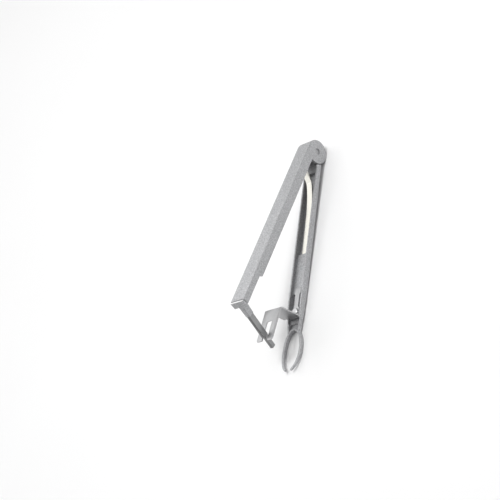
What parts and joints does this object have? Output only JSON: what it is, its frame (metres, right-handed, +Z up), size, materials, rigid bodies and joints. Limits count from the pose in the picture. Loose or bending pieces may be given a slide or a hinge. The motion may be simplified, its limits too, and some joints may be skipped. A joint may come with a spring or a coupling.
{
  "type": "cherry pitter with lever",
  "caption": "Hand cherry pitter: a sprung press lever pushes a flat rod through a fruit held in an open cup ring, past a slotted stripper plate.",
  "frame": {"origin": "on the surface under the pitter, midway along its length and width, as it stands open on its hub and cup ring", "axes": "+X from the pivot towards the cup ring, +Y across the arms, +Z up"},
  "size_m": [0.158, 0.0158, 0.051],
  "materials": {
    "cast_arm": "fine-grained silver grey, satin",
    "steel_pin": "turned, semi-bright",
    "spring_steel": "polished strip",
    "sheet_steel": "rolled sheet, bright satin",
    "rod_steel": "satin"
  },
  "bodies": {
    "lower_arm": {"body_arm": "cast_arm", "stripper_plate": "sheet_steel", "stripper_rivet": "steel_pin"},
    "press_lever": {"lever_arm": "cast_arm", "pivot_pin": "steel_pin", "plunger_holder": "cast_arm", "plunger_rod": "rod_steel", "holder_pin": "steel_pin"},
    "spring_strip": {"leaf_spring": "spring_steel"}
  },
  "joints": [
    {"name": "lever_pivot", "type": "hinge", "parent": "lower_arm", "child": "press_lever", "pos_m": [-0.0709, 0, 0.0081], "axis": [0, 1, 0], "range_deg": [-4.5, 10], "stiffness_Nm_per_rad": 3, "springref_deg": -0.26},
    {"name": "spring_flex", "type": "hinge", "parent": "lower_arm", "child": "spring_strip", "pos_m": [0.00045, 0, 0.00238], "axis": [0, 1, 0], "range_deg": [-2.4, 1.1]}
  ],
  "couplings": [
    {"joint": "spring_flex", "follows": "lever_pivot", "ratio": -0.235}
  ]
}
